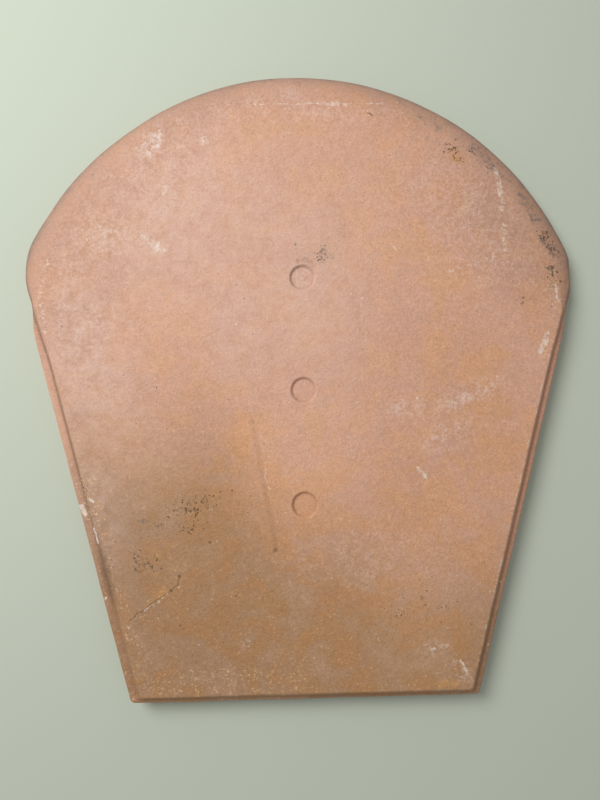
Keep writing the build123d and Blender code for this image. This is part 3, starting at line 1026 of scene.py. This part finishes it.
def paint_masks(form, tile):
    """Gives the mesh the values that the clay's colours follow. By the rim, the ledge, the face's edge, the
    riser's crease and the marks they fade as exp(-distance / reach) or exp(-(distance / reach)^2), and along
    the tile and with height they change by smooth_step."""
    shape = form.shape
    points = np.empty(len(tile.data.vertices) * 3, np.float32)
    tile.data.vertices.foreach_get("co", points)
    x, y, z = points.reshape(-1, 3).T.astype(float)
    right, head_start = x > 0, -30 * MM
    upper = smooth_step(shape.parting_level - 1 * MM, shape.parting_level, z)
    top = smooth_step(shape.parting_level - 1 * MM, shape.parting_level + 3 * MM, z)
    inside = step_distance(form, x, y)
    riser = inside / (step_drop(form, x, y) * np.tan(shape.riser_lean))
    ledge = 1 - smooth_step(-1.1, -0.7, riser)

    headward = smooth_step(head_start, -head_start, y)
    from_rim = np.maximum(shape.arch_radius - np.hypot(x, y - form.arch_centre[1]), 0)
    # By the rim and down the roll: grey dirt and painted shade
    rim = headward * (0.6 * np.exp(-from_rim / (5 * MM)) + 0.55 * np.exp(-from_rim / (18 * MM)))
    drop = np.clip(FACE_Z - z, 0, None) * (y > head_start) * (inside > 0) * upper
    rim = np.maximum(rim, smooth_step(0.5 * MM, 9 * MM, drop) * 0.8)

    face_edge = np.exp(-((inside - 0.6 * MM) / (1.6 * MM)) ** 2) * (y > -0.225)
    # The riser's crease and the ring round each mark's floor: dirt and painted shade
    crease = np.exp(-((riser + 0.75) / 0.38) ** 2)
    crease = crease * np.where(right, 0.5, 0.8 - 0.5 * smooth_step(-0.06, -0.13, y))
    from_mark = np.abs(mark_distance(form, x, y) - shape.mark_radius + 0.8 * MM)
    ring = 0.25 * np.exp(-(from_mark / (0.9 * MM)) ** 2)
    clean_ledge = ledge * np.where(right, 0.7, 0.3) * (1 - 0.75 * smooth_step(-0.03, -0.2, y))
    foot_bend = 0.028 * smooth_step(0.02, 0.1, x) - 0.07 * smooth_step(0, -0.08, x)

    values = {kind: top * stain_and_painted_light_cover(spots, x, y) for kind, spots in STAINS_AND_PAINTED_LIGHT.items()}
    # Painted shade on the ledge, deeper on the right and towards the foot, slight painted light on the left
    # ledge by the head, and painted shade on the roll by the rim; with glow and shade they make the tile's
    # painted light and shade
    painted_ledge_shade = ledge * (0.16 * smooth_step(-0.02, -0.2, y) + np.where(right, 0.12, -0.05))
    painted_rim_shade = 0.16 * headward * np.exp(-from_rim / (15 * MM))
    values["painted_light_and_shade"] = values.pop("glow") * 0.14 - values.pop("shade") * 0.2 - painted_ledge_shade - painted_rim_shade
    values["upper"] = upper
    values["footward"] = smooth_step(-0.055, -0.185, y + foot_bend)
    values["fresh"] = np.maximum(0.2 * rim, clean_ledge)
    values["rim_dirt_and_shade"] = (0.45 + 0.55 * top) * rim * 0.9 * (z > 0.5 * MM)
    values["worn"] = top * face_edge * np.where(right, 0.5, 0.25)
    values["crevice_dirt_and_shade"] = top * np.maximum(crease, ring)
    for name, value in values.items():
        layer = tile.data.attributes.new(name, "FLOAT", "POINT")
        layer.data.foreach_set("value", value.astype(np.float32))


def lay_floor(stage):
    """The pale square that the tile lies on."""
    half = stage.floor_size / 2
    corners = [(-half, -half, 0), (half, -half, 0), (half, half, 0), (-half, half, 0)]
    mesh = bpy.data.meshes.new("floor")
    mesh.from_pydata(corners, [], [(0, 1, 2, 3)])
    material = bpy.data.materials.new("pale_floor")
    bench = Bench(material)
    finish = {"Base Color": (*stage.floor, 1), "Roughness": 0.9, "Specular IOR Level": 0.2}
    surface = bench.node("ShaderNodeBsdfPrincipled", None, finish)
    bench.node("ShaderNodeOutputMaterial", None, {0: surface})
    mesh.materials.append(material)
    return placed("floor", mesh)


def hang_lamp(stage):
    """The soft round lamp, turned to the tile."""
    lamp = bpy.data.lights.new("soft_lamp", "AREA")
    lamp.shape, lamp.size, lamp.energy = "DISK", stage.lamp_size, stage.lamp_power
    hung = placed("soft_lamp", lamp)
    hung.location = stage.lamp_place
    hung.rotation_mode = "QUATERNION"
    hung.rotation_quaternion = (-Vector(stage.lamp_place)).to_track_quat("-Z", "Y")


def light_world(stage):
    """Even white light all round, which the camera and mirrors see in the floor's colour."""
    world = bpy.data.worlds.new("even_light")
    bpy.context.scene.world = world
    sky = Bench(world)
    camera, glossy = (sky.node("ShaderNodeLightPath", result=place) for place in (0, 3))
    even = sky.node("ShaderNodeBackground", None, {"Color": (1, 1, 1, 1), "Strength": stage.fill})
    pale = sky.node("ShaderNodeBackground", None, {"Color": (*stage.floor, 1), "Strength": 1.0})
    seen = camera.math("MAXIMUM", glossy)
    both = sky.node("ShaderNodeMixShader", None, {0: seen, 1: even, 2: pale})
    sky.node("ShaderNodeOutputWorld", None, {0: both})


def hold_camera():
    """The camera that took the photo."""
    camera = bpy.data.cameras.new("camera")
    camera.sensor_width, camera.sensor_fit = SENSOR, "AUTO"
    camera.lens = SENSOR * FOCAL_PIXELS / FRAME_HEIGHT
    camera.clip_start, camera.clip_end = 0.01, 50
    held = placed("camera", camera)
    held.matrix_world = camera_matrix()
    bpy.context.scene.camera = held


class RIDGETILE_OT_press(bpy.types.Operator):
    """Press the clay tile and give it its fired, weathered finish"""

    bl_idname = "ridgetile.press"
    bl_label = "Press the tile"

    def execute(self, context):
        form, tile = press_tile(context.scene.tile_shape)
        paint_masks(form, tile)
        tile.data.materials.append(fire_clay(context.scene.tile_clay))
        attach(tile, "root")
        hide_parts(NODE)
        return {"FINISHED"}


class RIDGETILE_OT_stage(bpy.types.Operator):
    """Lay out the floor, the light and the camera"""

    bl_idname = "ridgetile.stage"
    bl_label = "Lay out the stage"

    def execute(self, context):
        stage = context.scene.tile_stage
        floor = lay_floor(stage)
        hang_lamp(stage)
        light_world(stage)
        context.scene.view_settings.view_transform = "Standard"
        hold_camera()
        return {"FINISHED"}


class RIDGETILE_PT_panel(bpy.types.Panel):
    """The tile's sizes, colours and stage"""

    bl_label = "Clay ridge end tile"
    bl_idname = "RIDGETILE_PT_panel"
    bl_space_type = "VIEW_3D"
    bl_region_type = "UI"
    bl_category = "Roof tile"

    def draw(self, context):
        for group in (context.scene.tile_shape, context.scene.tile_clay, context.scene.tile_stage):
            box = self.layout.box()
            for name in group.__annotations__:
                box.prop(group, name)
        self.layout.operator(RIDGETILE_OT_press.bl_idname)
        self.layout.operator(RIDGETILE_OT_stage.bl_idname)


CLASSES = (TileShape, TileClay, TileStage, RIDGETILE_OT_press, RIDGETILE_OT_stage, RIDGETILE_PT_panel)


def register():
    for made in CLASSES:
        bpy.utils.register_class(made)
    bpy.types.Scene.tile_shape = PointerProperty(type=TileShape)
    bpy.types.Scene.tile_clay = PointerProperty(type=TileClay)
    bpy.types.Scene.tile_stage = PointerProperty(type=TileStage)


def unregister():
    del bpy.types.Scene.tile_stage, bpy.types.Scene.tile_clay, bpy.types.Scene.tile_shape
    for made in reversed(CLASSES):
        bpy.utils.unregister_class(made)


def main():
    register()
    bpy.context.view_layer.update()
    bpy.ops.ridgetile.press()
    bpy.ops.ridgetile.stage()
    bpy.context.view_layer.update()


if __name__ == "__main__":
    main()
